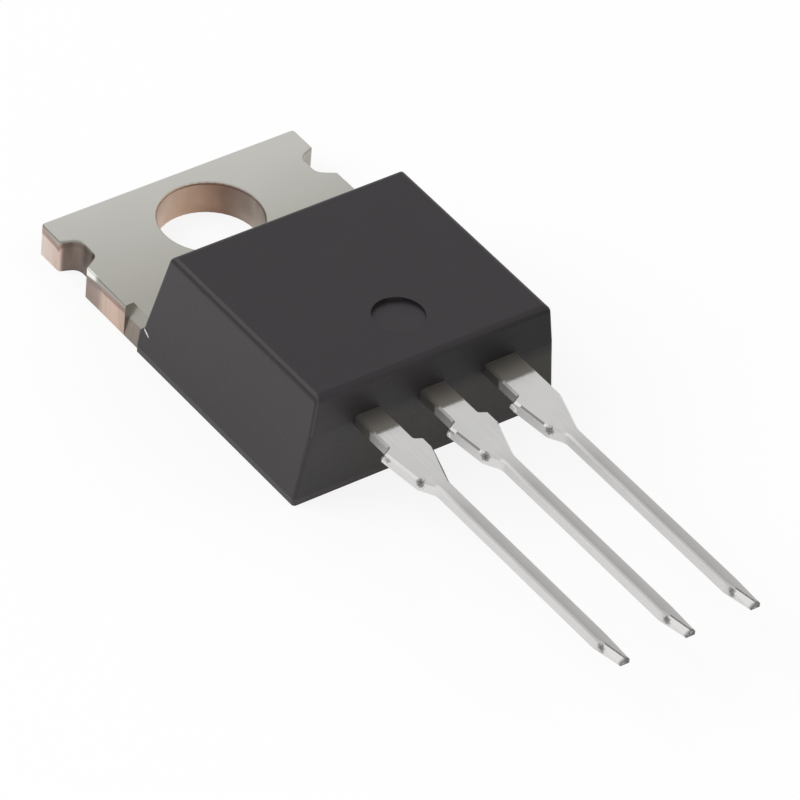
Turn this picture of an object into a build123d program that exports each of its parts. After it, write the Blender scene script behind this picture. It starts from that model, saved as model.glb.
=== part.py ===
from build123d import *

import os
from math import radians, tan

# Three-lead plastic power package with a drilled heat-sink tab, lying on its back.
# Millimetres. The origin is the centre of the mounting hole on the tab's back face,
# +Z points out of the marked face, +Y to the free end of the tab, -Y along the leads.

# ---- Driving dimensions -------------------------------------------------------------

# Heat-sink tab, thick part of the stamped frame
tab_thickness = 1.25
tab_width = 10.1  # between the side notches and the moulding
tab_end_width = 10.18  # beyond the side notches
tab_reach = 2.55  # hole centre to the free end
tab_corner = 0.12  # rounding of the two free corners
hole_radius = 1.82
edge_radius = 0.09  # rolled upper edge that the punch leaves

# Side notches of the tab, one on each side of the hole
notch_far = 1.4  # distance from the hole's centre line to the far side
notch_slope = 0.25  # how far the far side falls on its way in
notch_floor = 0.25  # where the floor would meet the slanted near side
notch_near = -0.13  # where the near side runs out
notch_depth = 0.6  # below the wider part of the tab
notch_round = 0.4
notch_lip = 0.12  # rounding of its two outer corners

# Mould lock, where the tab goes into the moulding
neck_start = -2.45  # from here on the tab's side walls lean in
neck_lean = 0.12  # how far they lean in up to the shoulder
neck_shoulder = 0.72  # height of the shoulder, where a bevel begins
neck_bevel = 0.32  # how far it all draws in at the upper face
neck_end = -4.0
paddle_width = 8.6
paddle_end = -10.3
paddle_round = 0.5
paddle_undercut = 0.3  # coined lower edge that the epoxy grips

# Epoxy moulding
body_width = 10.3  # at the back face
body_height = 4.32
body_rear = -3.29  # at the back face
body_front = -12.4  # at the back face
side_draft = 7.5  # degrees
rear_draft = 11.4
heel_height = 0.82  # upright foot of the rear wall, beside the neck
heel_slope = 0.24  # height in which the foot runs out into the rear wall
nose_reach = 0.13  # how far the parting line stands out in front
nose_fall = 0.04  # how far the upper front leans back from it
base_land = 0.25  # height of the upright band round the back
top_round = 0.26
corner_round = 0.12
ejector_radius = 0.9
ejector_depth = 0.09  # in its middle
ejector_tilt = 3.8  # degrees, the pin stood a little askew
ejector_setback = 2.2  # ejector mark's centre from the parting line
ejector_aside = 0.08  # and from the middle
gate_reach = 0.14  # remains of the gate, low on the right-hand side wall
gate_length = 0.7
gate_height = 0.75
gate_level = 1.35  # its middle above the back face
gate_setback = 0.55  # its middle behind the front face
gate_root = 0.35  # how deep it starts inside the wall
gate_bevel = 0.1

# Leads, thin part of the stamped frame
lead_pitch = 2.54
lead_thickness = 0.42
lead_height = 2.79  # middle plane of the leads above the back face
lead_width = 0.49
lead_length = 13.78  # from the parting line
lead_entry = 0.3  # how far the free end reaches into the moulding
lead_edge_bevel = 0.07  # along its upper edge
root_width = 1.0
outer_root = 0.78  # root's half width on the free side of the emitter lead
stub_width = 1.56  # remains of the cut dam bar
stub_start = 1.8  # these five are distances from the parting line
left_stub_end = 3.6
left_taper_end = 4.15
right_stub_end = 2.45
right_taper_end = 4.1
stub_slope = 0.19  # how far the longer, left side of the stub draws in on its way
stub_rise = 0.15  # slant of the step from root to stub
stub_round = 0.09
taper_round = 0.5
tip_length = 1.3
tip_width = 0.34
tip_thickness = 0.2
tip_bevel = 0.05  # at its end, on the right
tip_crest = 0.1  # width of its upper face there, between the two bevels
tip_shoulder = 0.12  # height there of the broad bevel on the left

# Bond pads on the two free leads, inside the moulding
bond_pad_width = 2.3
bond_pad_length = 1.25
bond_pad_cover = 0.55  # epoxy between pad and parting line

# Middle lead's bend down to the paddle
joggle_seat = 0.15  # from the paddle's end to the lower bend
joggle_grip = 0.5  # length of the strip that runs on in the paddle
joggle_slope = 60  # degrees
joggle_round = 0.35

# Chip, its solder and its wires
die_side = 3.6
die_thickness = 0.3
die_setback = 3.7  # chip's centre from the paddle's end
solder_thickness = 0.05
solder_margin = 0.1
base_wire_diameter = 0.2
emitter_wire_diameter = 0.38
die_bond_offset = 0.9  # from the middle of the chip to each wire's bond, across
die_bond_advance = 0.7  # and towards the leads
wire_loop = 0.45  # a wire's crest above the leads
crest_ratio = 0.45  # where the crest is, of the way to the lead
bond_foot_length = 0.7
foot_width_ratio = 1.3  # over wire diameter
foot_thickness_ratio = 0.5  # over wire diameter

# ---- Places worked out from them ----------------------------------------------------

parting_front = body_front - nose_reach
lead_top = lead_height + lead_thickness / 2
lead_bottom = lead_height - lead_thickness / 2
lead_start = parting_front + lead_entry
lead_tip = parting_front - lead_length
bond_pad_front = parting_front + bond_pad_cover
bond_pad_middle = bond_pad_front + bond_pad_length / 2
die_y = paddle_end + die_setback
solder_top = tab_thickness + solder_thickness
die_top = solder_top + die_thickness
strip_height = tab_thickness - lead_thickness / 2


def tab_half():
    """Right-hand edge of the tab and paddle, from the free end to the paddle's end."""
    half = tab_width / 2
    floor_half = half - notch_depth
    corners = [
        (0, tab_reach),
        (tab_end_width / 2, tab_reach),
        (tab_end_width / 2, notch_far),
        (floor_half, notch_far - notch_slope),
        (floor_half, notch_floor),
        (half, notch_near),
        (half, neck_end),
        (paddle_width / 2, neck_end),
        (paddle_width / 2, paddle_end),
        (0, paddle_end),
    ]
    radii = [tab_corner, notch_lip, notch_round, notch_round, notch_lip, 0, 0, paddle_round]
    return FilletPolyline(*corners, radius=radii)


def lead_side(side, root, stepped):
    """One edge of a lead outside the moulding. side is -1 or 1, root the root's half width."""
    stub = side * stub_width / 2
    slim = side * lead_width / 2
    if side < 0:
        stub_end, taper_end, cut = left_stub_end, left_taper_end, stub + stub_slope
    else:
        stub_end, taper_end, cut = right_stub_end, right_taper_end, stub
    corners = [(side * root, lead_start)]
    radii = []
    if stepped:
        step = parting_front - stub_start
        corners += [(side * root, step), (stub, step - stub_rise)]
        radii += [stub_round, stub_round]
    corners += [
        (cut, parting_front - stub_end),
        (slim, parting_front - taper_end),
        (slim, lead_tip + tip_length),
    ]
    radii += [stub_round, taper_round]
    return FilletPolyline(*corners, radius=radii)


def tip_section(half, low, crest_left, crest_right, left_shoulder, right_shoulder):
    """Outline of a lead across its tip: a flat crest between two bevels."""
    Polyline(
        (-half, low),
        (half, low),
        (half, lead_top - right_shoulder),
        (crest_right, lead_top),
        (crest_left, lead_top),
        (-half, lead_top - left_shoulder),
        close=True,
    )


def free_end(right_root, right_stepped):
    """One lead from just inside the moulding to its tip, about its own centre line.

    The tip is a wedge, drawn in on both sides, with a broad bevel where it was nipped off.
    """
    with BuildPart() as end:
        with BuildSketch(Plane.XY.offset(lead_bottom)):
            with BuildLine():
                left = lead_side(-1, root_width / 2, True)
                right = lead_side(1, right_root, right_stepped)
                Line(left @ 0, right @ 0)
                Line(left @ 1, right @ 1)
            make_face()
        extrude(amount=lead_thickness)
        upper = end.edges().filter_by_position(Axis.Z, lead_top, lead_top)
        worn = upper.filter_by_position(
            Axis.Y, lead_tip + tip_length, lead_start, inclusive=(False, False)
        )
        chamfer(worn, lead_edge_bevel)
        with BuildSketch(Plane.XZ.offset(-lead_tip - tip_length)):
            with BuildLine():
                half = lead_width / 2
                crest = half - lead_edge_bevel
                tip_section(half, lead_bottom, -crest, crest, lead_edge_bevel, lead_edge_bevel)
            make_face()
        with BuildSketch(Plane.XZ.offset(-lead_tip)):
            with BuildLine():
                half = tip_width / 2
                crest_left = half - tip_bevel - tip_crest
                crest_right = half - tip_bevel
                low = lead_top - tip_thickness
                tip_section(half, low, crest_left, crest_right, tip_shoulder, tip_bevel)
            make_face()
        loft()
    return end.part


def free_lead(x, right_root, right_stepped):
    """A lead that ends in its own bond pad inside the moulding."""
    with BuildPart() as lead:
        with Locations((x, 0, 0)):
            add(free_end(right_root, right_stepped))
        with BuildSketch(Plane.XY.offset(lead_bottom)):
            with Locations((x, lead_start)):
                inner_root = bond_pad_cover - lead_entry
                Rectangle(root_width, inner_root, align=(Align.CENTER, Align.MIN))
            with Locations((x, bond_pad_middle)):
                Rectangle(bond_pad_width, bond_pad_length)
        extrude(amount=lead_thickness)
    return lead


def bond_wire(diameter, side):
    """A wire from the chip to a free lead's bond pad, with a flattened foot at each end."""
    start = Vector(side * die_bond_offset, die_y - die_bond_advance, die_top)
    end = Vector(side * lead_pitch, bond_pad_middle, die_top)
    span = (end - start).length
    rise = lead_top - die_top
    axis = diameter / 2
    upright = Plane(start, x_dir=end - start, z_dir=(end - start).cross(Vector(0, 0, 1)))
    with BuildPart() as wire:
        with BuildLine(upright) as route:
            ThreePointArc((0, axis), (span * crest_ratio, rise + wire_loop), (span, rise + axis))
        with BuildSketch(Plane(route.line @ 0, z_dir=route.line % 0)):
            Circle(axis)
        sweep(path=route.line)
        for along, level in ((0, 0), (span, rise)):
            foot = upright.location * Pos(along, level + diameter * foot_thickness_ratio / 2, 0)
            with Locations(foot):
                Box(bond_foot_length, diameter * foot_thickness_ratio, diameter * foot_width_ratio)
    return wire


# ---- Stamped frame: tab, paddle and middle lead in one ------------------------------

with BuildPart() as collector_frame:
    with BuildSketch():
        with BuildLine():
            tab_half()
            mirror(about=Plane.YZ)
        make_face()
        Circle(hole_radius, mode=Mode.SUBTRACT)
    extrude(amount=tab_thickness)
    rims = collector_frame.faces().sort_by(Axis.Z)[-1].edges()
    fillet(rims.filter_by_position(Axis.Y, neck_end, tab_reach, inclusive=(False, True)), edge_radius)
    soles = collector_frame.faces().sort_by(Axis.Z)[0].edges()
    grips = soles.filter_by_position(Axis.Y, paddle_end, neck_end, inclusive=(True, False))
    chamfer(grips, paddle_undercut)

    # The epoxy holds the neck by its leaning walls
    with BuildSketch(Plane.XZ.offset(-neck_start)):
        with BuildLine():
            Polyline(
                (tab_width / 2, 0),
                (tab_width / 2, tab_thickness),
                (tab_width / 2 - neck_bevel, tab_thickness),
                (tab_width / 2 - neck_lean, neck_shoulder),
                close=True,
            )
        make_face()
        mirror(about=Plane.YZ)
    extrude(amount=neck_start - neck_end, mode=Mode.SUBTRACT)

    # Strip from the paddle up to the level of the leads
    seat = paddle_end - joggle_seat
    climb = (lead_height - strip_height) / tan(radians(joggle_slope))
    with BuildLine(Plane.YZ) as strip:
        FilletPolyline(
            (paddle_end + joggle_grip, strip_height),
            (seat, strip_height),
            (seat - climb, lead_height),
            (lead_start, lead_height),
            radius=joggle_round,
        )
    with BuildSketch(Plane.XZ.offset(-paddle_end - joggle_grip)):
        with Locations((0, strip_height)):
            Rectangle(root_width, lead_thickness)
    sweep(path=strip.line)

    add(free_end(root_width / 2, True))

# ---- The two free leads -------------------------------------------------------------

base_lead = free_lead(-lead_pitch, root_width / 2, True)
emitter_lead = free_lead(lead_pitch, outer_root, False)

# ---- Chip, solder and bond wires ----------------------------------------------------

with BuildPart() as solder_layer:
    with BuildSketch(Plane.XY.offset(tab_thickness)):
        with Locations((0, die_y)):
            Rectangle(die_side + 2 * solder_margin, die_side + 2 * solder_margin)
    extrude(amount=solder_thickness)

with BuildPart() as silicon_die:
    with BuildSketch(Plane.XY.offset(solder_top)):
        with Locations((0, die_y)):
            Rectangle(die_side, die_side)
    extrude(amount=die_thickness)

base_wire = bond_wire(base_wire_diameter, -1)
emitter_wire = bond_wire(emitter_wire_diameter, 1)

# ---- Epoxy moulding -----------------------------------------------------------------

def rear_wall(height):
    """Distance along Y of the leaning rear wall at a height above the back face."""
    return body_rear - height * tan(radians(rear_draft))


with BuildPart() as mould_body:
    with BuildSketch(Plane.YZ):
        with BuildLine():
            Polyline(
                (body_rear, 0),
                (body_rear, heel_height),
                (rear_wall(heel_height + heel_slope), heel_height + heel_slope),
                (rear_wall(body_height), body_height),
                (parting_front + nose_fall, body_height),
                (parting_front, lead_height),
                (body_front, base_land),
                (body_front, 0),
                close=True,
            )
        make_face()
    extrude(amount=body_width, both=True)

    with BuildSketch(Plane.XZ):
        with BuildLine():
            Polyline(
                (0, 0),
                (body_width / 2, 0),
                (body_width / 2, base_land),
                (body_width / 2 - (body_height - base_land) * tan(radians(side_draft)), body_height),
                (0, body_height),
            )
            mirror(about=Plane.YZ)
        make_face()
    extrude(amount=-parting_front, mode=Mode.INTERSECT)

    fillet(mould_body.faces().sort_by(Axis.Z)[-1].edges(), top_round)
    straight = mould_body.edges().filter_by(GeomType.LINE)
    fillet(straight.filter_by(lambda edge: abs((edge % 0.5).Z) > 0.5), corner_round)

    # Round mark of the pin that pushed the moulding out
    mark = (ejector_aside, parting_front + ejector_setback, body_height - ejector_depth)
    with Locations(Location(mark, (-ejector_tilt, 0, 0))):
        Cylinder(
            ejector_radius,
            ejector_radius,
            align=(Align.CENTER, Align.CENTER, Align.MIN),
            mode=Mode.SUBTRACT,
        )

    # Broken-off gate, wedge-shaped, grown out of the leaning side wall
    wall_lean = (gate_level - base_land) * tan(radians(side_draft))
    gate_x = body_width / 2 - wall_lean
    with BuildSketch(Plane.YZ.offset(gate_x - gate_root)):
        with Locations((body_front + gate_setback, gate_level)):
            Rectangle(gate_length, gate_height)
    with BuildSketch(Plane.YZ.offset(gate_x + gate_reach)):
        with Locations((body_front + gate_setback, gate_level)):
            Rectangle(gate_length - 2 * gate_bevel, gate_height - 2 * gate_bevel)
    loft()

    # The epoxy flows round everything it holds
    for held in (collector_frame, base_lead, emitter_lead, solder_layer, silicon_die, base_wire, emitter_wire):
        add(held.part, mode=Mode.SUBTRACT)

# ---- Write one file for each piece --------------------------------------------------

collector_frame.part.label = "collector_frame"
base_lead.part.label = "base_lead"
emitter_lead.part.label = "emitter_lead"
solder_layer.part.label = "solder_layer"
silicon_die.part.label = "silicon_die"
base_wire.part.label = "base_wire"
emitter_wire.part.label = "emitter_wire"
mould_body.part.label = "mould_body"

os.makedirs("parts", exist_ok=True)
export_step(collector_frame.part, "parts/collector_frame.step")
export_step(base_lead.part, "parts/base_lead.step")
export_step(emitter_lead.part, "parts/emitter_lead.step")
export_step(solder_layer.part, "parts/solder_layer.step")
export_step(silicon_die.part, "parts/silicon_die.step")
export_step(base_wire.part, "parts/base_wire.step")
export_step(emitter_wire.part, "parts/emitter_wire.step")
export_step(mould_body.part, "parts/mould_body.step")
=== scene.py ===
import math

import bmesh
import bpy
from bpy.props import FloatProperty, FloatVectorProperty, IntProperty
from mathutils import Matrix, Vector


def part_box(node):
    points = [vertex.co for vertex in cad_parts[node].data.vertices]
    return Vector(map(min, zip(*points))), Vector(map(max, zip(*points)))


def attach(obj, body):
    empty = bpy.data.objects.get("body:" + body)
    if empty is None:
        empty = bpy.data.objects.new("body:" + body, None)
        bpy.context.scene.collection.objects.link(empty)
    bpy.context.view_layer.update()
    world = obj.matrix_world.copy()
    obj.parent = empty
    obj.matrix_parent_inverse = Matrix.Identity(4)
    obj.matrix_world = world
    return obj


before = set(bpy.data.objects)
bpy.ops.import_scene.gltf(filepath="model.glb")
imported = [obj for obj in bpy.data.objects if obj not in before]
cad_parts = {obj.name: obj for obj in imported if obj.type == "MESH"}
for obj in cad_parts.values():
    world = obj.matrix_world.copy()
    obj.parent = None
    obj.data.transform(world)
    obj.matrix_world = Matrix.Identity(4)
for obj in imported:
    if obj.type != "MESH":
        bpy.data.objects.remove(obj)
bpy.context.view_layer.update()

bl_info = {
    "name": "Power transistor finish",
    "version": (1, 0, 0),
    "blender": (4, 5, 0),
    "location": "View3D > Sidebar > Transistor",
    "description": "Plating, epoxy, shear burrs and a studio for a three-lead transistor with a drilled tab",
    "category": "Object",
}

# Blender's lengths are metres, and the frame's places below are written in millimetres
MM = 0.001

LEAD_PITCH = 2.54
LEAD_START = -12.0  # inside the moulding
LEAD_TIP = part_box("collector_frame")[0][1] / MM
# From a lead's own centre line: the corner where the dam bar tore off first, the torn spot at
# the other end of the cut, and the spot where the tip's bevel begins
STUB_CORNER = (-0.8, -14.53, 2.78)
STUB_SPOT = (-0.55, -16.17, 2.88)
TIP_SPOT = (-0.25, -25.38, 2.85)
SPOT_REACH = 0.3  # radius of a torn or pinched spot
MOULDING_REFLECTION_END = -13.58  # where the painted reflection of the dark moulding on the roots ends
STRIP_START = -16.2
LEAD_HALF = 0.25  # half the width of a strip, a little over
LEAD_TOP = 3.0
# The tip's crest line is where across + CREST_SLOPE * y + CREST_OFFSET is nothing
CREST_SLOPE = 0.165
CREST_OFFSET = 4.29

# The tab's side walls, from the moulding to the free end
WALL_START = -3.4
NECK = -2.45
NOTCH_NEAR = -0.13
NOTCH_FAR = 1.4
WALL_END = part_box("collector_frame")[1][1] / MM
SHOULDER = 0.72  # height at which the neck's bevel begins
TAB_TOP = 1.25
HOLE_RADIUS = 1.82

FLASH_TOP = 0.25  # height of the band round the back where the flash was
# Pale chip on the moulding's left side: its place, turn in radians and half lengths
CHIP = (-5.08, -3.7, 0.98)
CHIP_TURN = (0.49, 0, 0)
CHIP_SIZE = (0.25, 0.2, 0.035)

# Share of plain white in the bench, seen directly and as the metal mirrors it
BENCH_SEEN = 0.85
BENCH_MIRRORED = 0.36

TEAR_SCALE = 6.0 / MM  # of the noise that tears the nibs, about as coarse as one is wide


def linear(code):
    """An sRGB hex colour as linear red, green, blue and a full alpha."""
    parts = [int(code[i : i + 2], 16) / 255 for i in (1, 3, 5)]
    return (*[p / 12.92 if p <= 0.04045 else ((p + 0.055) / 1.055) ** 2.4 for p in parts], 1.0)


# ---- What a user would change --------------------------------------------------------


class PlatingSettings(bpy.types.PropertyGroup):
    """Tin of the leads and of the tab"""

    lead_tin: FloatVectorProperty(
        name="Lead tin",
        description="Bright dipped tin on the leads",
        subtype="COLOR",
        size=4,
        min=0,
        max=1,
        default=linear("#E1E0DE"),
    )
    tab_tin: FloatVectorProperty(
        name="Tab tin",
        description="Satin tin on the tab, a little warmer",
        subtype="COLOR",
        size=4,
        min=0,
        max=1,
        default=linear("#DEDCD6"),
    )
    # Painted shade: the darker tin that the tab's faces get towards the moulding
    tab_shade: FloatVectorProperty(
        name="Tab shade",
        description="Tin near the moulding, where it was handled",
        subtype="COLOR",
        size=4,
        min=0,
        max=1,
        default=linear("#BFBDB4"),
    )
    lead_roughness: FloatProperty(
        name="Lead roughness",
        description="Roughness of the tin on the leads",
        min=0.02,
        max=1,
        default=0.15,
    )
    tab_roughness: FloatProperty(
        name="Tab roughness",
        description="Roughness of the tin on the tab",
        min=0.02,
        max=1,
        default=0.32,
    )


class EpoxySettings(bpy.types.PropertyGroup):
    """Moulding compound and its flash"""

    epoxy: FloatVectorProperty(
        name="Epoxy",
        description="Carbon-black moulding compound",
        subtype="COLOR",
        size=4,
        min=0,
        max=1,
        default=linear("#241F23"),
    )
    flash: FloatVectorProperty(
        name="Flash",
        description="Paler band round the back, where the flash was knocked off",
        subtype="COLOR",
        size=4,
        min=0,
        max=1,
        default=linear("#3C3838"),
    )
    roughness: FloatProperty(
        name="Roughness", description="Roughness of the moulded skin", min=0.02, max=1, default=0.45
    )
    grain: FloatProperty(
        name="Grain",
        description="Size of the grain that the eroded mould leaves",
        subtype="DISTANCE",
        unit="LENGTH",
        min=0.02 * MM,
        max=1 * MM,
        default=0.09 * MM,
    )


class BurrSettings(bpy.types.PropertyGroup):
    """Nibs that the torn dam bar left"""

    width: FloatProperty(
        name="Width",
        description="How wide a nib is that the torn dam bar leaves",
        subtype="DISTANCE",
        unit="LENGTH",
        default=0.2 * MM,
    )
    length: FloatProperty(
        name="Length",
        description="How long a nib is, along its lead",
        subtype="DISTANCE",
        unit="LENGTH",
        default=0.36 * MM,
    )
    seed: IntProperty(name="Seed", description="Which torn shapes the nibs get", min=0, default=4)


class StudioSettings(bpy.types.PropertyGroup):
    """Camera, bench and lights"""

    azimuth: FloatProperty(
        name="Azimuth",
        description="Camera's bearing round the part",
        subtype="ANGLE",
        default=math.radians(-38.70),
    )
    elevation: FloatProperty(
        name="Elevation",
        description="Camera's height above the bench",
        subtype="ANGLE",
        default=math.radians(39.735),
    )
    roll: FloatProperty(
        name="Roll",
        description="Camera's turn about its own axis",
        subtype="ANGLE",
        default=math.radians(5.329),
    )
    distance: FloatProperty(
        name="Distance",
        description="From the camera to the aim point",
        subtype="DISTANCE",
        unit="LENGTH",
        default=243.12 * MM,
    )
    lens: FloatProperty(
        name="Lens", description="Focal length in millimetres", min=20, max=600, default=327.9
    )
    aim: FloatVectorProperty(
        name="Aim",
        description="Point in the middle of the view",
        subtype="TRANSLATION",
        unit="LENGTH",
        size=3,
        default=(3.513 * MM, -6.520 * MM, -3.479 * MM),
    )
    bench: FloatVectorProperty(
        name="Bench",
        description="Pale matt bench",
        subtype="COLOR",
        size=4,
        min=0,
        max=1,
        default=linear("#F3F3F3"),
    )
    key_power: FloatProperty(
        name="Key power",
        description="Power in watts of the large soft box behind on the left",
        min=0,
        default=0.68,
    )
    fill_power: FloatProperty(
        name="Fill power",
        description="Power in watts of the soft box in front on the right",
        min=0,
        default=0.16,
    )


# ---- Materials -----------------------------------------------------------------------


def node(tree, kind, inputs=None, stops=(), **settings):
    """Adds one node with its settings and links.

    inputs maps the names or numbers of its sockets to values, or to the nodes or outputs that
    feed them. stops are a colour ramp's places and colours, in order.
    """
    made = tree.nodes.new(kind)
    for name, value in settings.items():
        setattr(made, name, value)
    for number, (place, colour) in enumerate(stops):
        marks = made.color_ramp.elements
        if number == 0:
            marks.remove(marks[1])
            marks[0].position = place
            marks[0].color = colour
        else:
            marks.new(place).color = colour
    for key, value in (inputs or {}).items():
        socket = made.inputs[key]
        if isinstance(value, bpy.types.Node):
            value = next(output for output in value.outputs if output.enabled)
        if isinstance(value, bpy.types.NodeSocket):
            tree.links.new(value, socket)
        else:
            socket.default_value = value
    return made


def start_material(name):
    """A new material, its node tree, its shader and the place on the piece in millimetres."""
    material = bpy.data.materials.new(name)
    material.use_nodes = True
    tree = material.node_tree
    tree.nodes.clear()
    shader = node(tree, "ShaderNodeBsdfPrincipled")
    node(tree, "ShaderNodeOutputMaterial", {"Surface": shader})
    place = node(tree, "ShaderNodeTexCoord").outputs["Object"]
    place = node(tree, "ShaderNodeVectorMath", {0: place, 1: (1 / MM,) * 3}, operation="MULTIPLY")
    return material, tree, shader, place


def finish_material(tree, shader, colour, rough, relief, metallic):
    """Gives a material's shader its colour, roughness, relief and share of metal."""
    tree.links.new(colour.outputs[2], shader.inputs["Base Color"])
    tree.links.new(rough.outputs[0], shader.inputs["Roughness"])
    tree.links.new(relief.outputs[0], shader.inputs["Normal"])
    shader.inputs["Metallic"].default_value = metallic


def dress(name, material):
    """Gives one node of the frame its material, in every slot."""
    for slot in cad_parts[name].material_slots:
        slot.material = material


def strip_top_shade(tree, colour, axes, across, crest, before):
    """The tin's colour with painted shade across the top of the strips, past the stubs: greys, darkest near
    the left edge of each top.
    """
    side = node(tree, "ShaderNodeMapRange", {0: across, 1: -LEAD_HALF, 2: LEAD_HALF})
    strip_shade = node(
        tree,
        "ShaderNodeValToRGB",
        {0: side},
        stops=(
            (0.0, linear("#FFFFFF")),
            (0.06, linear("#DFDDDC")),
            (0.14, linear("#D5D3D2")),
            (0.6, linear("#E2E1E0")),
            (0.9, linear("#E9E8E7")),
            (1.0, linear("#FFFFFF")),
        ),
    )
    upper = node(tree, "ShaderNodeMath", {0: crest, 1: 0.0}, operation="GREATER_THAN")
    upper = node(tree, "ShaderNodeMath", {0: upper, 1: before}, operation="MAXIMUM")
    strip = node(tree, "ShaderNodeMapRange", {0: axes[1], 1: STRIP_START, 2: STRIP_START - 2.0})
    strip = node(tree, "ShaderNodeMath", {0: strip, 1: upper}, operation="MULTIPLY")
    return node(
        tree,
        "ShaderNodeMix",
        {0: strip, 6: colour.outputs[2], 7: strip_shade.outputs[0]},
        data_type="RGBA",
        blend_type="MULTIPLY",
    )


def torn_marks(tree, axes, local, ragged, crest, before):
    """Where the left side of each lead was torn or pinched, and its end nipped off."""
    dull = node(tree, "ShaderNodeMapRange", {0: axes[1], 1: LEAD_TIP + 0.14, 2: LEAD_TIP + 0.02})
    for spot, depth in ((STUB_SPOT, 1.0), (TIP_SPOT, 0.95)):
        gap = node(tree, "ShaderNodeVectorMath", {0: local, 1: spot}, operation="DISTANCE")
        gap = {0: ragged, 1: 0.3, 2: gap.outputs["Value"]}
        gap = node(tree, "ShaderNodeMath", gap, operation="MULTIPLY_ADD")
        mark = {0: gap, 1: SPOT_REACH + 0.05, 2: SPOT_REACH - 0.06, 4: depth}
        mark = node(tree, "ShaderNodeMapRange", mark, interpolation_type="SMOOTHSTEP")
        dull = node(tree, "ShaderNodeMath", {0: dull, 1: mark}, operation="MAXIMUM")
    crease = node(tree, "ShaderNodeMath", {0: crest}, operation="ABSOLUTE")
    crease = node(tree, "ShaderNodeMapRange", {0: crease, 1: 0.04, 2: 0.015, 4: 0.95})
    after = node(tree, "ShaderNodeMath", {0: 1.0, 1: before}, operation="SUBTRACT")
    crease = node(tree, "ShaderNodeMath", {0: crease, 1: after}, operation="MULTIPLY")
    dull = node(tree, "ShaderNodeMath", {0: dull, 1: crease}, operation="MAXIMUM")
    speckle = node(tree, "ShaderNodeMapRange", {0: ragged, 1: 0.35, 2: 0.65, 3: 0.6, 4: 0.9})
    return node(tree, "ShaderNodeMath", {0: dull, 1: speckle}, operation="MULTIPLY")


def stub_corner_shade(tree, axes, facing, slant):
    """The upper corner of the cut at the dam bar, painted dark on all but the first lead: painted shade."""
    middle = {0: axes[1], 1: (STUB_CORNER[1] + STUB_SPOT[1]) / 2, 2: 0.55}
    corner = node(tree, "ShaderNodeMath", middle, operation="COMPARE")
    corner = node(tree, "ShaderNodeMath", {0: corner, 1: slant}, operation="MULTIPLY")
    left = node(tree, "ShaderNodeMath", {0: facing[0], 1: -0.3}, operation="LESS_THAN")
    corner = node(tree, "ShaderNodeMath", {0: corner, 1: left}, operation="MULTIPLY")
    high = node(tree, "ShaderNodeMapRange", {0: axes[2], 1: LEAD_TOP - 0.08, 2: LEAD_TOP - 0.05})
    corner = node(tree, "ShaderNodeMath", {0: corner, 1: high}, operation="MULTIPLY")
    later = node(tree, "ShaderNodeMapRange", {0: axes[0], 1: -LEAD_PITCH / 2, 2: -1.0, 4: 0.75})
    return node(tree, "ShaderNodeMath", {0: corner, 1: later}, operation="MULTIPLY")


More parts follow.
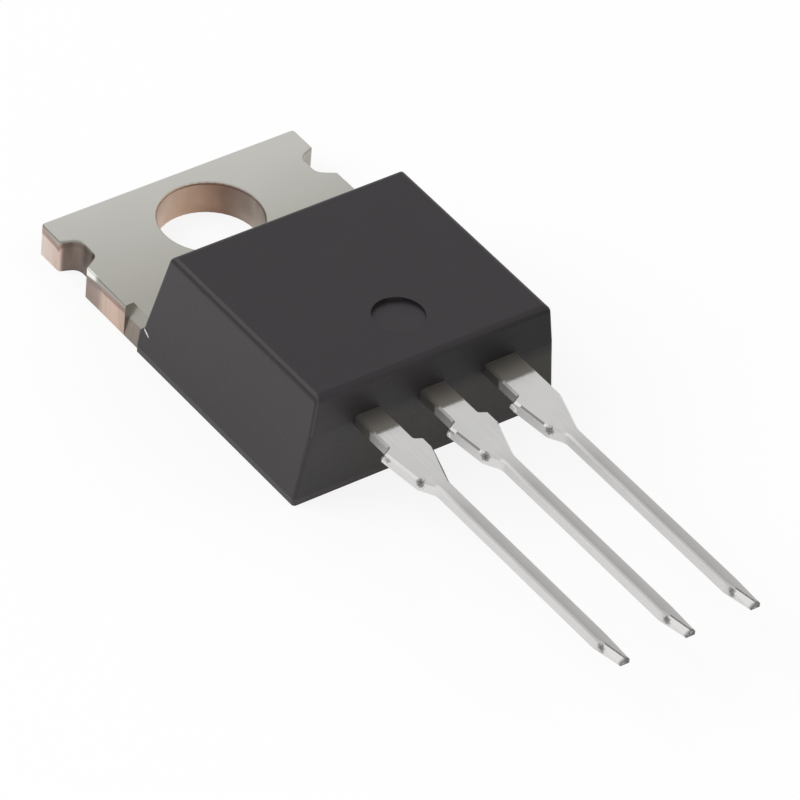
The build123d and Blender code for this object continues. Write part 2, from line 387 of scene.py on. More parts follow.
def dipped_skin(tree, place, settings):
    """Colour, roughness and height of dipped tin on a lead, from the place on the piece.

    The tin flowed out nearly mirror-bright, with a faint orange peel and lines along the
    strip. The top of the strips is painted greyer than their sides, darkest near the left
    edge: painted shade. Next to the moulding a painted reflection of the dark moulding lies
    over it, and the sides as far as the torn dam bar are matt. Where the bar tore off and
    where the tip was pinched and nipped off, it is dark and dull. On the second and third
    lead the upper corner of the cut at the dam bar is painted dark: painted shade.
    """
    axes = node(tree, "ShaderNodeSeparateXYZ", {0: place}).outputs
    peel = node(tree, "ShaderNodeTexNoise", {"Vector": place, "Scale": 0.9, "Detail": 2.0})
    # Rolling lines are 0.01 mm apart; drawn ten times as coarse so that they show
    drawn = node(tree, "ShaderNodeMapping", {"Vector": place, "Scale": (1, 0.04, 1)})
    lines = node(tree, "ShaderNodeTexNoise", {"Vector": drawn, "Scale": 9.0, "Detail": 2.0})
    tone = node(tree, "ShaderNodeMath", {0: peel, 1: lines}, operation="ADD")
    tone = node(tree, "ShaderNodeMapRange", {0: tone, 1: 0.75, 2: 1.3})
    colour = node(
        tree, "ShaderNodeMix", {0: tone, 6: settings.lead_tin, 7: linear("#DCDBDA")}, data_type="RGBA"
    )

    # From here on places are taken from each lead's own centre line
    half = LEAD_PITCH / 2
    across = node(tree, "ShaderNodeMath", {0: axes[0], 1: half, 2: -half}, operation="WRAP")
    local = node(tree, "ShaderNodeCombineXYZ", {0: across, 1: axes[1], 2: axes[2]})
    # The line from the pinch to the end that parts the tip's crest from its bevel
    crest = {0: axes[1], 1: CREST_SLOPE, 2: CREST_OFFSET}
    crest = node(tree, "ShaderNodeMath", crest, operation="MULTIPLY_ADD")
    crest = node(tree, "ShaderNodeMath", {0: across, 1: crest}, operation="ADD")
    before = node(tree, "ShaderNodeMath", {0: axes[1], 1: TIP_SPOT[1]}, operation="GREATER_THAN")
    # Painted shade across the top of the strips
    colour = strip_top_shade(tree, colour, axes, across, crest, before)

    ragged = node(tree, "ShaderNodeTexNoise", {"Vector": place, "Scale": 14.0, "Detail": 2.0})
    dull = torn_marks(tree, axes, local, ragged, crest, before)
    colour = node(
        tree, "ShaderNodeMix", {0: dull, 6: colour.outputs[2], 7: linear("#4A4643")}, data_type="RGBA"
    )
    normal = node(tree, "ShaderNodeNewGeometry").outputs["Normal"]
    facing = node(tree, "ShaderNodeSeparateXYZ", {0: normal}).outputs
    steep = node(tree, "ShaderNodeMath", {0: facing[2]}, operation="ABSOLUTE")
    slant = node(tree, "ShaderNodeMath", {0: steep, 1: 0.7, 2: 0.2}, operation="COMPARE")
    # Painted shade at the upper corner of the second and third stub
    corner = stub_corner_shade(tree, axes, facing, slant)
    colour = node(
        tree, "ShaderNodeMix", {0: corner, 6: colour.outputs[2], 7: linear("#55504C")}, data_type="RGBA"
    )

    # Painted reflection of the dark moulding on the roots next to it, which ends sooner on the sides than on
    # top
    upright = node(tree, "ShaderNodeMapRange", {0: steep, 1: 0.8, 2: 0.6})
    reflection_reach = node(tree, "ShaderNodeMath", {0: ragged, 1: 0.12, 2: axes[1]}, operation="MULTIPLY_ADD")
    reflection_reach = node(tree, "ShaderNodeMath", {0: upright, 1: -0.26, 2: reflection_reach}, operation="MULTIPLY_ADD")
    moulding_reflection = {0: reflection_reach, 1: MOULDING_REFLECTION_END - 0.04, 2: MOULDING_REFLECTION_END + 0.1}
    moulding_reflection = node(tree, "ShaderNodeMapRange", moulding_reflection, interpolation_type="SMOOTHSTEP")
    reflected_moulding = node(
        tree, "ShaderNodeMix", {0: upright, 6: linear("#A09B94"), 7: linear("#88847D")}, data_type="RGBA"
    )
    colour = node(
        tree, "ShaderNodeMix", {0: moulding_reflection, 6: colour.outputs[2], 7: reflected_moulding.outputs[2]}, data_type="RGBA"
    )

    rough = {0: peel, 1: 0.08, 2: settings.lead_roughness - 0.04}
    rough = node(tree, "ShaderNodeMath", rough, operation="MULTIPLY_ADD")
    worn = node(tree, "ShaderNodeMath", {0: dull, 1: moulding_reflection}, operation="MAXIMUM")
    # The sides between the moulding and the dam bar are matt
    root = node(tree, "ShaderNodeMath", {0: axes[1], 1: STUB_CORNER[1]}, operation="GREATER_THAN")
    aside = node(tree, "ShaderNodeMath", {0: steep, 1: 0.9}, operation="LESS_THAN")
    root = node(tree, "ShaderNodeMath", {0: root, 1: aside}, operation="MULTIPLY")
    worn = node(tree, "ShaderNodeMath", {0: worn, 1: root}, operation="MAXIMUM")
    rough = node(tree, "ShaderNodeMath", {0: worn, 1: 0.35, 2: rough}, operation="MULTIPLY_ADD")
    height = node(tree, "ShaderNodeMath", {0: lines, 1: 0.25, 2: peel}, operation="MULTIPLY_ADD")
    return colour, rough, height


def dipped_tin(settings):
    """Copper leads, dipped in molten tin after they were cut: a bright skin, softly mirroring."""
    material, tree, shader, place = start_material("Dipped_tin")
    colour, rough, height = dipped_skin(tree, place, settings)
    relief = node(tree, "ShaderNodeBump", {"Height": height, "Distance": 0.012 * MM, "Strength": 0.6})
    finish_material(tree, shader, colour, rough, relief, metallic=1.0)
    return material


def along_wall(stops):
    """Ramp stops from (millimetres along Y, colour) pairs, for the tab's side walls."""
    return [((y - WALL_START) / (WALL_END - WALL_START), colour) for y, colour in stops]


def grey(value):
    """A plain value as a grey, for a colour ramp that serves as a curve."""
    return (value, value, value, 1.0)


def wall_tones_and_shade(tree, along):
    """The lower, torn band and the upper, burnished band of the side walls, both painted darker at the neck
    and in the notches: painted shade.
    """
    # In both bands the walls at the neck and in the notches are painted darker: painted shade
    torn = node(
        tree,
        "ShaderNodeValToRGB",
        {0: along},
        along_wall(
            (
                (NECK + 0.01, linear("#9B9188")),
                (NECK + 0.05, linear("#CFB6A6")),
                (NECK + 0.7, linear("#DDC4B5")),
                (NOTCH_NEAR - 1.1, linear("#DCC5B4")),
                (NOTCH_NEAR - 0.7, linear("#B09D94")),
                (NOTCH_NEAR - 0.12, linear("#A08F87")),
                (NOTCH_NEAR + 0.12, linear("#B3A198")),
                (NOTCH_NEAR + 0.35, linear("#71665F")),
                (NOTCH_FAR - 0.6, linear("#8B7E78")),
                (NOTCH_FAR - 0.05, linear("#83756D")),
                (NOTCH_FAR, linear("#DCC4B9")),
                (WALL_END, linear("#EADDD3")),
            )
        ),
    )
    burnished = node(
        tree,
        "ShaderNodeValToRGB",
        {0: along},
        along_wall(
            (
                (NECK + 0.01, linear("#968C83")),
                (NECK + 0.05, linear("#A2877F")),
                (NECK + 0.7, linear("#AE9289")),
                (NOTCH_NEAR - 1.1, linear("#AB9389")),
                (NOTCH_NEAR - 0.7, linear("#9A8F85")),
                (NOTCH_NEAR - 0.12, linear("#958880")),
                (NOTCH_NEAR + 0.12, linear("#A5978E")),
                (NOTCH_NEAR + 0.35, linear("#6E645D")),
                (NOTCH_FAR - 0.6, linear("#82776F")),
                (NOTCH_FAR - 0.05, linear("#776B62")),
                (NOTCH_FAR, linear("#A98D82")),
                (WALL_END, linear("#B79F94")),
            )
        ),
    )
    return torn.outputs[0], burnished.outputs[0]


def depth_below_tin(tree, along, axes):
    """How far a place is below the plating that the die drew over the upper edge.

    It drew most of it beside the notches.
    """
    rolled = node(
        tree,
        "ShaderNodeValToRGB",
        {0: along},
        along_wall(
            (
                (NECK + 0.02, grey(0.16)),
                (NOTCH_NEAR - 0.5, grey(0.24)),
                (NOTCH_NEAR, grey(0.32)),
                (NOTCH_NEAR + 0.2, grey(0.06)),
                (NOTCH_FAR, grey(0.06)),
                (NOTCH_FAR + 0.03, grey(0.22)),
                (WALL_END, grey(0.08)),
            )
        ),
    )
    rolled = node(tree, "ShaderNodeMath", {0: TAB_TOP, 1: rolled.outputs[0]}, operation="SUBTRACT")
    return node(tree, "ShaderNodeMath", {0: rolled, 1: axes[2]}, operation="SUBTRACT")


def drilled_tones_and_light(tree, axes, wander, level):
    """The drilled wall, tan, with painted light that runs round the hole and is paler towards the back, and
    painted paler lower down as a painted reflection of the bench.
    """
    bearing = node(tree, "ShaderNodeMath", {0: axes[1], 1: axes[0]}, operation="ARCTAN2")
    bearing = node(tree, "ShaderNodeMath", {0: wander, 1: 0.5, 2: bearing}, operation="MULTIPLY_ADD")
    # The wandering moves the bearing by a quarter radian on average
    bearing = node(tree, "ShaderNodeMapRange", {0: bearing, 1: 0.25 - math.pi, 2: 0.25 + math.pi})
    # Painted light round the hole, paler towards the back
    drilled = node(
        tree,
        "ShaderNodeValToRGB",
        {0: bearing},
        stops=(
            (0.00, linear("#DCC8B7")),
            (0.25, linear("#A08B7D")),
            (0.42, linear("#B1A99E")),
            (0.51, linear("#ADA195")),
            (0.55, linear("#9A8B81")),
            (0.60, linear("#8A7264")),
            (0.66, linear("#A98B78")),
            (0.74, linear("#D0B19B")),
            (0.84, linear("#EAD3C0")),
            (1.00, linear("#DCC8B7")),
        ),
    )
    # Painted reflection of the bench: the lower wall paler
    lower_wall_reflection = node(tree, "ShaderNodeMapRange", {0: level, 1: 0.2, 2: 0.9, 3: 0.93, 4: 1.1})
    return node(
        tree,
        "ShaderNodeMix",
        {0: 1.0, 6: drilled.outputs[0], 7: lower_wall_reflection},
        data_type="RGBA",
        blend_type="MULTIPLY",
    )


def bare_places(tree, axes, upright, below, radius, hole):
    """Where copper is bare: upright walls below the drawn tin, and the drilled wall.

    The neck's bevel and the notch on the right were cut before the plating.
    """
    below = node(tree, "ShaderNodeMapRange", {0: below, 1: -0.03, 2: 0.03})
    bare = node(tree, "ShaderNodeMath", {0: upright, 1: below}, operation="MULTIPLY")
    # The drilled wall goes by its distance from the hole's axis
    drilled = {0: radius, 1: HOLE_RADIUS + 0.06, 2: HOLE_RADIUS + 0.03}
    drilled = node(tree, "ShaderNodeMapRange", drilled)
    drilled = node(tree, "ShaderNodeMath", {0: hole, 1: drilled}, operation="MULTIPLY")
    bare = node(tree, "ShaderNodeMath", {0: bare, 1: drilled}, operation="ADD")
    neck = node(tree, "ShaderNodeMath", {0: axes[1], 1: NECK + 0.01}, operation="LESS_THAN")
    raised = node(tree, "ShaderNodeMath", {0: axes[2], 1: SHOULDER + 0.02}, operation="GREATER_THAN")
    bevel = node(tree, "ShaderNodeMath", {0: neck, 1: raised}, operation="MULTIPLY")
    middle = {0: axes[1], 1: (NOTCH_NEAR + NOTCH_FAR) / 2, 2: (NOTCH_FAR - NOTCH_NEAR) / 2}
    notch = node(tree, "ShaderNodeMath", middle, operation="COMPARE")
    right = node(tree, "ShaderNodeMath", {0: axes[0], 1: 3.0}, operation="GREATER_THAN")
    plated = node(tree, "ShaderNodeMath", {0: notch, 1: right}, operation="MULTIPLY")
    plated = node(tree, "ShaderNodeMath", {0: plated, 1: bevel}, operation="MAXIMUM")
    return node(tree, "ShaderNodeMath", {0: bare, 1: plated}, operation="SUBTRACT", use_clamp=True)


def satin_skin(tree, place, crystals, settings):
    """Satin tin of the tab's faces, cloudy, and painted darker the nearer it is to the moulding: painted
    shade.
    """
    clouds = node(tree, "ShaderNodeTexNoise", {"Vector": place, "Scale": 0.3, "Detail": 2.0})
    # Painted shade, darker towards the moulding
    shaded = {0: place, 1: (-0.02, -0.19, 0)}
    shaded = node(tree, "ShaderNodeVectorMath", shaded, operation="DOT_PRODUCT")
    tone = {0: clouds, 1: 0.3, 2: shaded.outputs["Value"]}
    tone = node(tree, "ShaderNodeMath", tone, operation="MULTIPLY_ADD")
    tone = node(tree, "ShaderNodeMath", {0: crystals, 1: 0.12, 2: tone}, operation="MULTIPLY_ADD")
    tone = node(tree, "ShaderNodeMapRange", {0: tone, 1: -0.25, 2: 0.75})
    return node(
        tree, "ShaderNodeMix", {0: tone, 6: settings.tab_tin, 7: settings.tab_shade}, data_type="RGBA"
    )


def drawn_tin_shade_and_highlight(tree, axes):
    """Tin that the die drew over the edge, painted a darker grey as painted shade, and painted near white on
    the lip beside each notch as a painted highlight.
    """
    # Painted highlight on the lip beside each notch
    lip = node(tree, "ShaderNodeMath", {0: axes[1], 1: 0.2 - NOTCH_NEAR}, operation="ADD")
    lip = node(tree, "ShaderNodeMath", {0: lip}, operation="ABSOLUTE")
    lip = node(tree, "ShaderNodeMapRange", {0: lip, 1: 0.5, 2: 0.25}, interpolation_type="SMOOTHSTEP")
    high = node(tree, "ShaderNodeMapRange", {0: axes[2], 1: TAB_TOP - 0.45, 2: TAB_TOP - 0.3})
    lip = node(tree, "ShaderNodeMath", {0: lip, 1: high}, operation="MULTIPLY")
    return node(
        tree, "ShaderNodeMix", {0: lip, 6: linear("#ACA9A1"), 7: linear("#FFFFFC")}, data_type="RGBA"
    )


def stamped_tab(settings):
    """Copper frame, plated with satin tin and then stamped out, so that its edges are bare.

    The faces are a warm grey, nearly even, with a fine crystal grain. A stamped edge has two
    bands, pale peach where the metal tore and rose above it where the die burnished it. The
    walls in the side notches and at the neck are painted a darker brown grey: painted shade.
    The drilled wall is tan, with painted light that runs from pale to dark round the hole. Past
    the moulding the strip is bright like the other leads.
    """
    material, tree, shader, place = start_material("Stamped_copper_satin_tin")
    axes = node(tree, "ShaderNodeSeparateXYZ", {0: place}).outputs
    normal = node(tree, "ShaderNodeNewGeometry").outputs["Normal"]
    facing = node(tree, "ShaderNodeSeparateXYZ", {0: normal}).outputs
    # Tin crystals are about 0.05 mm; drawn twice as coarse so that they show
    crystals = node(tree, "ShaderNodeTexNoise", {"Vector": place, "Scale": 10.0, "Detail": 3.0})
    skin = satin_skin(tree, place, crystals, settings)

    along = node(tree, "ShaderNodeMapRange", {0: axes[1], 1: WALL_START, 2: WALL_END})
    torn, burnished = wall_tones_and_shade(tree, along)
    below = depth_below_tin(tree, along, axes)
    wander = node(tree, "ShaderNodeTexNoise", {"Vector": place, "Scale": 1.1, "Detail": 1.0})
    level = node(tree, "ShaderNodeMath", {0: wander, 1: -0.3, 2: below}, operation="MULTIPLY_ADD")
    upper = {0: level, 1: 0.12, 2: 0.02}
    upper = node(tree, "ShaderNodeMapRange", upper, interpolation_type="SMOOTHSTEP")
    copper = node(tree, "ShaderNodeMix", {0: upper, 6: torn, 7: burnished}, data_type="RGBA")
    # Scratches of the punch are 0.02 mm apart; drawn five times as coarse
    pressed = node(tree, "ShaderNodeMapping", {"Vector": place, "Scale": (1, 1, 0.12)})
    scratches = node(tree, "ShaderNodeTexNoise", {"Vector": pressed, "Scale": 8.0, "Detail": 2.0})
    shade = node(tree, "ShaderNodeMapRange", {0: scratches, 1: 0.3, 2: 0.7, 3: 0.92, 4: 1.04})
    copper = node(
        tree,
        "ShaderNodeMix",
        {0: 1.0, 6: copper.outputs[2], 7: shade},
        data_type="RGBA",
        blend_type="MULTIPLY",
    )
    flat = node(tree, "ShaderNodeCombineXYZ", {0: axes[0], 1: axes[1]})
    radius = node(tree, "ShaderNodeVectorMath", {0: flat}, operation="LENGTH").outputs["Value"]
    hole = node(tree, "ShaderNodeMapRange", {0: radius, 1: 2.6, 2: 2.3})
    drilled = drilled_tones_and_light(tree, axes, wander, level)
    copper = node(
        tree, "ShaderNodeMix", {0: hole, 6: copper.outputs[2], 7: drilled.outputs[2]}, data_type="RGBA"
    )

    # Upright surfaces, those of the hole apart
    steep = node(tree, "ShaderNodeMath", {0: facing[2]}, operation="ABSOLUTE")
    stands = {0: steep, 1: 0.93, 2: 0.8}
    stands = node(tree, "ShaderNodeMapRange", stands, interpolation_type="SMOOTHSTEP")
    upright = node(tree, "ShaderNodeMath", {0: stands, 1: hole}, operation="SUBTRACT", use_clamp=True)
    bare = bare_places(tree, axes, upright, below, radius, hole)
    # Upright tin painted darker as painted shade, with a painted highlight on each lip
    drawn = drawn_tin_shade_and_highlight(tree, axes)
    skin = node(
        tree, "ShaderNodeMix", {0: upright, 6: skin.outputs[2], 7: drawn.outputs[2]}, data_type="RGBA"
    )
    colour = node(
        tree, "ShaderNodeMix", {0: bare, 6: skin.outputs[2], 7: copper.outputs[2]}, data_type="RGBA"
    )
    rough = {0: bare, 1: 0.08, 2: settings.tab_roughness}
    rough = node(tree, "ShaderNodeMath", rough, operation="MULTIPLY_ADD")
    height = node(tree, "ShaderNodeMath", {0: scratches, 1: bare}, operation="MULTIPLY")
    height = node(tree, "ShaderNodeMath", {0: crystals, 1: 0.5, 2: height}, operation="MULTIPLY_ADD")

    # The middle lead is dipped like its neighbours
    lead = node(tree, "ShaderNodeMath", {0: axes[1], 1: LEAD_START}, operation="LESS_THAN")
    tin, tin_rough, tin_height = dipped_skin(tree, place, settings)
    colour = node(
        tree, "ShaderNodeMix", {0: lead, 6: colour.outputs[2], 7: tin.outputs[2]}, data_type="RGBA"
    )
    rough = node(tree, "ShaderNodeMix", {0: lead, 2: rough, 3: tin_rough})
    height = node(tree, "ShaderNodeMix", {0: lead, 2: height, 3: tin_height})
    relief = node(tree, "ShaderNodeBump", {"Height": height, "Distance": 0.008 * MM, "Strength": 0.6})
    finish_material(tree, shader, colour, rough, relief, metallic=1.0)
    return material


def front_face(tree, colour, axes, facing, clouds):
    """The moulding's front: painted darker towards the right as painted shade, and a paler olive below the
    parting as a painted reflection of the bench.

    Returns the colour, and how dark a place is made.
    """
    front = node(tree, "ShaderNodeMapRange", {0: facing[1], 1: -0.6, 2: -0.9})
    # Painted shade: darker towards the right
    darker = node(tree, "ShaderNodeMapRange", {0: axes[0], 1: -4.0, 2: 4.5, 3: 0.0, 4: 0.85})
    darker = node(tree, "ShaderNodeMath", {0: darker, 1: front}, operation="MULTIPLY")
    colour = node(
        tree, "ShaderNodeMix", {0: darker, 6: colour.outputs[2], 7: grey(0.001)}, data_type="RGBA"
    )
    # Painted reflection of the bench: a paler olive below the parting
    level = node(tree, "ShaderNodeMath", {0: clouds, 1: 0.5, 2: axes[2]}, operation="MULTIPLY_ADD")
    lower_reflection = node(tree, "ShaderNodeMapRange", {0: level, 1: 3.1, 2: 2.3}, interpolation_type="SMOOTHSTEP")
    lower_reflection = node(tree, "ShaderNodeMath", {0: lower_reflection, 1: front}, operation="MULTIPLY")
    toward = node(tree, "ShaderNodeMapRange", {0: axes[0], 1: -5.0, 2: 0.0})
    lower_reflection = node(tree, "ShaderNodeMath", {0: lower_reflection, 1: toward}, operation="MULTIPLY")
    colour = node(
        tree, "ShaderNodeMix", {0: lower_reflection, 6: colour.outputs[2], 7: linear("#35322D")}, data_type="RGBA"
    )
    return colour, darker


def moulded_epoxy(settings):
    """Silica-filled epoxy, transfer moulded in a spark-eroded tool.

    It is a near black, a shade towards purple, with a fine dull grain that still mirrors the
    surroundings softly. The band round the back, where flash was knocked off, is paler.
    """
    material, tree, shader, place = start_material("Moulded_epoxy")
    axes = node(tree, "ShaderNodeSeparateXYZ", {0: place}).outputs
    clouds = node(tree, "ShaderNodeTexNoise", {"Vector": place, "Scale": 0.5, "Detail": 3.0})
    # The real grain is 0.02 mm; drawn coarser so that it shows
    grain = {"Vector": place, "Scale": MM / settings.grain, "Detail": 2.0}
    grain = node(tree, "ShaderNodeTexNoise", grain)
    cloudy = (*[0.8 * part for part in settings.epoxy[:3]], 1.0)
    colour = node(tree, "ShaderNodeMix", {0: clouds, 6: cloudy, 7: settings.epoxy}, data_type="RGBA")
    # The side on the left is painted paler as painted light, and the rounding above it gets a painted
    # highlight
    normal = node(tree, "ShaderNodeNewGeometry").outputs["Normal"]
    facing = node(tree, "ShaderNodeSeparateXYZ", {0: normal}).outputs
    lean = node(tree, "ShaderNodeMapRange", {0: facing[0], 1: -1.0, 2: 0.0})
    left_light_and_highlight = node(
        tree,
        "ShaderNodeValToRGB",
        {0: lean},
        stops=(
            (0.1, grey(0.16)),
            (0.25, grey(0.0)),
            (0.42, grey(0.5)),
            (0.65, grey(0.7)),
            (0.9, grey(0.0)),
        ),
    )
    above = node(tree, "ShaderNodeMath", {0: facing[2], 1: 0.05}, operation="GREATER_THAN")
    left_light_and_highlight = node(tree, "ShaderNodeMath", {0: left_light_and_highlight, 1: above}, operation="MULTIPLY")
    colour = node(
        tree, "ShaderNodeMix", {0: left_light_and_highlight, 6: colour.outputs[2], 7: linear("#454243")}, data_type="RGBA"
    )
    colour, darker = front_face(tree, colour, axes, facing, clouds)

    chipped = node(tree, "ShaderNodeTexNoise", {"Vector": place, "Scale": 3.0, "Detail": 2.0})
    edge = node(tree, "ShaderNodeMath", {0: chipped, 1: 0.08, 2: axes[2]}, operation="MULTIPLY_ADD")
    band = {0: edge, 1: FLASH_TOP + 0.06, 2: FLASH_TOP}
    band = node(tree, "ShaderNodeMapRange", band, interpolation_type="SMOOTHSTEP")
    colour = node(
        tree, "ShaderNodeMix", {0: band, 6: colour.outputs[2], 7: settings.flash}, data_type="RGBA"
    )
    # One pale chip where the flash came away, on the side by the neck
    chip = {"Vector": place, "Location": CHIP, "Rotation": CHIP_TURN, "Scale": CHIP_SIZE}
    chip = node(tree, "ShaderNodeMapping", chip, vector_type="TEXTURE")
    chip = node(tree, "ShaderNodeVectorMath", {0: chip}, operation="LENGTH").outputs["Value"]
    chip = node(tree, "ShaderNodeMapRange", {0: chip, 1: 1.1, 2: 0.8})
    colour = node(
        tree, "ShaderNodeMix", {0: chip, 6: colour.outputs[2], 7: linear("#DAD7D2")}, data_type="RGBA"
    )
    rough = {0: grain, 1: 0.12, 2: settings.roughness - 0.06}
    rough = node(tree, "ShaderNodeMath", rough, operation="MULTIPLY_ADD")
    rough = node(tree, "ShaderNodeMath", {0: darker, 1: 0.3, 2: rough}, operation="MULTIPLY_ADD")
    relief = node(tree, "ShaderNodeBump", {"Height": grain, "Distance": 0.006 * MM, "Strength": 1.0})
    finish_material(tree, shader, colour, rough, relief, metallic=0.0)
    return material


def fine_grained(name, dark, light, metallic, roughness, scale):
    """Finish of a small piece: two close tones in a fine grain."""
    material, tree, shader, place = start_material(name)
    grain = node(tree, "ShaderNodeTexNoise", {"Vector": place, "Scale": scale, "Detail": 3.0})
    colour = node(tree, "ShaderNodeMix", {0: grain, 6: linear(dark), 7: linear(light)}, data_type="RGBA")
    rough = node(tree, "ShaderNodeMath", {0: grain, 1: 0.1, 2: roughness}, operation="MULTIPLY_ADD")
    relief = node(tree, "ShaderNodeBump", {"Height": grain, "Distance": 0.002 * MM, "Strength": 1.0})
    finish_material(tree, shader, colour, rough, relief, metallic)
    return material


# ---- Geometry Nodes ------------------------------------------------------------------


def burr_tree(material):
    """Nibs of torn metal in a row, one at the same corner of each lead's stub."""
    tree = bpy.data.node_groups.new("Dam_bar_burrs", "GeometryNodeTree")
    for name, kind in (
        ("Start", "NodeSocketVector"),
        ("Pitch", "NodeSocketFloat"),
        ("Count", "NodeSocketInt"),
        ("Size", "NodeSocketVector"),
        ("Seed", "NodeSocketInt"),
    ):
        tree.interface.new_socket(name, in_out="INPUT", socket_type=kind)
    tree.interface.new_socket("Geometry", in_out="OUTPUT", socket_type="NodeSocketGeometry")
    given = node(tree, "NodeGroupInput").outputs

    step = node(tree, "ShaderNodeCombineXYZ", {0: given["Pitch"]})
    row = node(
        tree,
        "GeometryNodeMeshLine",
        {"Count": given["Count"], "Start Location": given["Start"], "Offset": step},
        mode="OFFSET",
    )
    nib = node(tree, "GeometryNodeMeshIcoSphere", {"Radius": 0.5, "Subdivisions": 4})
    turn = node(
        tree,
        "FunctionNodeRandomValue",
        {0: (-0.3, -0.3, -0.5), 1: (0.3, 0.3, 0.5), "Seed": given["Seed"]},
        data_type="FLOAT_VECTOR",
    )
    nibs = node(
        tree,
        "GeometryNodeInstanceOnPoints",
        {"Points": row, "Instance": nib, "Rotation": turn, "Scale": given["Size"]},
    )
    nibs = node(tree, "GeometryNodeRealizeInstances", {0: nibs})

    # Tear them
    place = node(tree, "GeometryNodeInputPosition")
    torn = node(
        tree,
        "ShaderNodeTexNoise",
        {"Vector": place, "W": given["Seed"], "Scale": TEAR_SCALE, "Detail": 3.0},
        noise_dimensions="4D",
    )
    depth = node(tree, "ShaderNodeMath", {0: torn, 1: 0.16 * MM, 2: -0.09 * MM}, operation="MULTIPLY_ADD")
    out = node(tree, "GeometryNodeInputNormal")
    out = node(tree, "ShaderNodeVectorMath", {0: out, "Scale": depth}, operation="SCALE")
    nibs = node(tree, "GeometryNodeSetPosition", {"Geometry": nibs, "Offset": out})
    nibs = node(tree, "GeometryNodeSetMaterial", {"Geometry": nibs, "Material": material})
    node(tree, "NodeGroupOutput", {"Geometry": nibs})
    return tree


# ---- Operators -----------------------------------------------------------------------


class TRANSISTOR_OT_leadframe(bpy.types.Operator):
    """Finish the tab with its middle lead, and the two free leads"""

    bl_idname = "transistor.leadframe"
    bl_label = "Finish lead frame"

    def execute(self, context):
        settings = context.scene.transistor_plating
        dress("collector_frame", stamped_tab(settings))
        tin = dipped_tin(settings)
        dress("base_lead", tin)
        dress("emitter_lead", tin)
        return {"FINISHED"}


class TRANSISTOR_OT_burrs(bpy.types.Operator):
    """Add the torn nibs that the dam bar left on the leads"""

    bl_idname = "transistor.burrs"
    bl_label = "Add shear burrs"

    def execute(self, context):
        settings = context.scene.transistor_burrs
        # Torn tin is white, with a coarse dull grain
        tree = burr_tree(fine_grained("Torn_tin", "#E9E5E2", "#FFFFFF", 1.0, 0.45, 8.0))
        piece = bpy.data.objects.new("dam_bar_burrs", bpy.data.meshes.new("dam_bar_burrs"))
        context.scene.collection.objects.link(piece)
        modifier = piece.modifiers.new("Burrs", "NODES")
        modifier.node_group = tree
        aside, along, level = STUB_CORNER
        given = {
            "Start": ((aside - LEAD_PITCH) * MM, (along - 0.05) * MM, level * MM),
            "Pitch": LEAD_PITCH * MM,
            "Count": 3,
            "Size": (settings.width, settings.length, settings.width),
            "Seed": settings.seed,
        }
        for socket in tree.interface.items_tree:
            if socket.name in given:
                modifier[socket.identifier] = given[socket.name]
        shaped = piece.evaluated_get(context.evaluated_depsgraph_get())
        piece.data = bpy.data.meshes.new_from_object(shaped)
        piece.modifiers.clear()
        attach(piece, "root")
        return {"FINISHED"}


class TRANSISTOR_OT_moulding(bpy.types.Operator):
    """Finish the epoxy moulding"""

    bl_idname = "transistor.moulding"
    bl_label = "Finish moulding"

    def execute(self, context):
        dress("mould_body", moulded_epoxy(context.scene.transistor_epoxy))
        return {"FINISHED"}


class TRANSISTOR_OT_chip(bpy.types.Operator):
    """Finish the chip, its solder and its two wires inside the moulding"""

    bl_idname = "transistor.chip"
    bl_label = "Finish chip and wires"

    def execute(self, context):
        # Polished silicon is a blue grey, nearly a mirror
        dress("silicon_die", fine_grained("Polished_silicon", "#3E434C", "#4A4F58", 0.6, 0.12, 2.0))
        # Reflowed solder is a dull grey with coarse crystals
        dress("solder_layer", fine_grained("Reflowed_solder", "#8E8F92", "#A6A6A6", 1.0, 0.4, 6.0))
        # Drawn aluminium wire is bright and a little blue
        wire = fine_grained("Drawn_aluminium", "#D6D7D8", "#E6E6E6", 1.0, 0.25, 12.0)
        dress("base_wire", wire)
        dress("emitter_wire", wire)
        return {"FINISHED"}


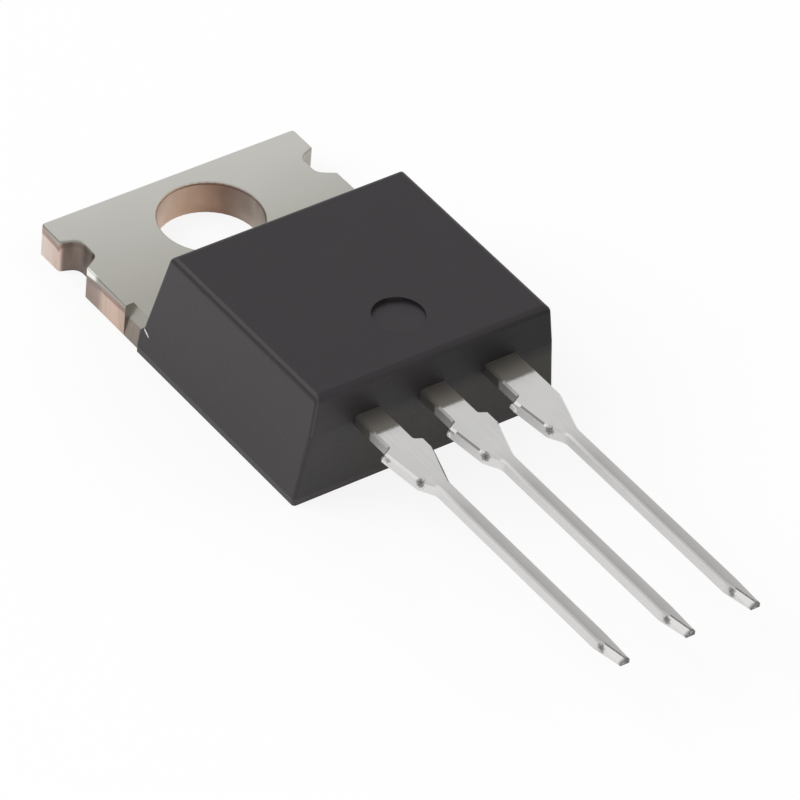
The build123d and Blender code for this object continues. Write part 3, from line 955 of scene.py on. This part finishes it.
class TRANSISTOR_OT_studio(bpy.types.Operator):
    """Set up the bench, the surroundings, the soft boxes and the camera"""

    bl_idname = "transistor.studio"
    bl_label = "Set up studio"

    def execute(self, context):
        scene = context.scene
        settings = scene.transistor_studio
        scene.view_settings.view_transform = "Standard"
        self.lay_bench(scene, settings)
        self.hang_surroundings(scene)
        self.place_lamp(scene, "Key_softbox", (-230, 120, 230), 300, settings.key_power)
        self.place_lamp(scene, "Fill_softbox", (200, -160, 240), 200, settings.fill_power)
        self.aim_camera(scene, settings)
        return {"FINISHED"}

    def lay_bench(self, scene, settings):
        """A pale matt bench, just under the object.

        Seen directly it is nearly white, with the object's shadow left in. In the metal its
        shadow shows more.
        """
        mesh = bpy.data.meshes.new("Bench")
        form = bmesh.new()
        bmesh.ops.create_grid(form, x_segments=1, y_segments=1, size=1.5)
        form.to_mesh(mesh)
        form.free()
        mesh.transform(Matrix.Translation((0, 0, -0.01 * MM)))
        bench = bpy.data.objects.new("Bench", mesh)
        scene.collection.objects.link(bench)
        material = bpy.data.materials.new("Matt_white_bench")
        material.use_nodes = True
        tree = material.node_tree
        tree.nodes.clear()
        path = node(tree, "ShaderNodeLightPath").outputs
        mirrored = {0: path["Is Glossy Ray"], 1: BENCH_MIRRORED}
        mirrored = node(tree, "ShaderNodeMath", mirrored, operation="MULTIPLY")
        share = {0: path["Is Camera Ray"], 1: BENCH_SEEN, 2: mirrored}
        share = node(tree, "ShaderNodeMath", share, operation="MULTIPLY_ADD")
        matt = node(tree, "ShaderNodeBsdfDiffuse", {"Color": settings.bench})
        white = node(tree, "ShaderNodeEmission", {"Color": (1, 1, 1, 1), "Strength": 1.0})
        mixed = node(tree, "ShaderNodeMixShader", {0: share, 1: matt, 2: white})
        node(tree, "ShaderNodeOutputMaterial", {"Surface": mixed})
        mesh.materials.append(material)

    def hang_surroundings(self, scene):
        """A dim wall at the horizon, a soft ceiling, and a white screen behind on the left."""
        world = bpy.data.worlds.new("Studio")
        scene.world = world
        world.use_nodes = True
        tree = world.node_tree
        tree.nodes.clear()
        direction = node(tree, "ShaderNodeTexCoord").outputs["Generated"]
        height = node(tree, "ShaderNodeSeparateXYZ", {0: direction}).outputs[2]
        ceiling = node(
            tree,
            "ShaderNodeValToRGB",
            {0: height},
            stops=(
                (0.0, linear("#C8C8C8")),
                (0.42, linear("#DADADA")),
                (0.64, linear("#E5E5E5")),
                (1.0, linear("#C0C0C0")),
            ),
        )
        screen = Vector((-0.62, 0.60, 0.46)).normalized()
        toward = node(tree, "ShaderNodeVectorMath", {0: direction, 1: screen}, operation="DOT_PRODUCT")
        lit = {0: toward.outputs["Value"], 1: 0.74, 2: 0.93}
        lit = node(tree, "ShaderNodeMapRange", lit, interpolation_type="SMOOTHSTEP")
        colour = node(
            tree, "ShaderNodeMix", {0: lit, 6: ceiling.outputs[0], 7: (1, 1, 1, 1)}, data_type="RGBA"
        )
        # The dim wall stands below the screen
        low = node(tree, "ShaderNodeMapRange", {0: height, 1: 0.4, 2: 0.2}, interpolation_type="SMOOTHSTEP")
        wall = Vector((-0.8, 0.6, 0))
        toward = node(tree, "ShaderNodeVectorMath", {0: direction, 1: wall}, operation="DOT_PRODUCT")
        near = {0: toward.outputs["Value"], 1: 0.2, 2: 0.7}
        near = node(tree, "ShaderNodeMapRange", near, interpolation_type="SMOOTHSTEP")
        dim = node(tree, "ShaderNodeMath", {0: low, 1: near}, operation="MULTIPLY")
        colour = node(
            tree, "ShaderNodeMix", {0: dim, 6: colour.outputs[2], 7: linear("#3C3C3C")}, data_type="RGBA"
        )
        seen = node(tree, "ShaderNodeLightPath").outputs["Is Camera Ray"]
        colour = node(
            tree, "ShaderNodeMix", {0: seen, 6: colour.outputs[2], 7: (1, 1, 1, 1)}, data_type="RGBA"
        )
        background = node(tree, "ShaderNodeBackground", {"Color": colour.outputs[2], "Strength": 1.0})
        node(tree, "ShaderNodeOutputWorld", {"Surface": background})

    def place_lamp(self, scene, name, place, size, power):
        """A square soft box, size and place in millimetres, turned to the object."""
        lamp = bpy.data.lights.new(name, "AREA")
        lamp.shape = "SQUARE"
        lamp.size = size * MM
        lamp.energy = power
        box = bpy.data.objects.new(name, lamp)
        # The screen and the ceiling are what the metal mirrors
        box.visible_glossy = False
        scene.collection.objects.link(box)
        spot = Vector(place) * MM
        box.matrix_world = Matrix.Translation(spot) @ (-spot).to_track_quat("-Z", "Y").to_matrix().to_4x4()

    def aim_camera(self, scene, settings):
        """A long lens on the aim point, from the set bearing, height and roll."""
        azimuth, elevation, roll = settings.azimuth, settings.elevation, settings.roll
        outward = Vector((math.sin(azimuth), -math.cos(azimuth), 0))
        back = math.cos(elevation) * outward + Vector((0, 0, math.sin(elevation)))
        level = Vector((math.cos(azimuth), math.sin(azimuth), 0))
        right = math.cos(roll) * level + math.sin(roll) * back.cross(level)
        axes = Matrix((right, back.cross(right), back)).transposed().to_4x4()
        camera = bpy.data.cameras.new("Camera")
        camera.lens = settings.lens
        camera.sensor_width = 36
        camera.clip_start = 1 * MM
        camera.clip_end = 10
        made = bpy.data.objects.new("Camera", camera)
        made.matrix_world = Matrix.Translation(Vector(settings.aim) + back * settings.distance) @ axes
        scene.collection.objects.link(made)
        scene.camera = made


class TRANSISTOR_PT_panel(bpy.types.Panel):
    bl_label = "Power transistor"
    bl_idname = "TRANSISTOR_PT_panel"
    bl_space_type = "VIEW_3D"
    bl_region_type = "UI"
    bl_category = "Transistor"

    def draw(self, context):
        layout = self.layout
        for group in GROUPS:
            settings = getattr(context.scene, group)
            box = layout.box()
            for name in settings.bl_rna.properties.keys():
                if name not in ("rna_type", "name"):
                    box.prop(settings, name)
        for operator in OPERATORS:
            layout.operator(operator.bl_idname)


GROUPS = {
    "transistor_plating": PlatingSettings,
    "transistor_burrs": BurrSettings,
    "transistor_epoxy": EpoxySettings,
    "transistor_studio": StudioSettings,
}
OPERATORS = (
    TRANSISTOR_OT_leadframe,
    TRANSISTOR_OT_burrs,
    TRANSISTOR_OT_moulding,
    TRANSISTOR_OT_chip,
    TRANSISTOR_OT_studio,
)
CLASSES = (*GROUPS.values(), *OPERATORS, TRANSISTOR_PT_panel)


def register():
    for cls in CLASSES:
        bpy.utils.register_class(cls)
    for name, group in GROUPS.items():
        setattr(bpy.types.Scene, name, bpy.props.PointerProperty(type=group))


def unregister():
    for name in GROUPS:
        delattr(bpy.types.Scene, name)
    for cls in reversed(CLASSES):
        bpy.utils.unregister_class(cls)


def main():
    register()
    bpy.ops.transistor.leadframe()
    bpy.ops.transistor.burrs()
    bpy.ops.transistor.moulding()
    bpy.ops.transistor.chip()
    bpy.ops.transistor.studio()


if __name__ == "__main__":
    main()
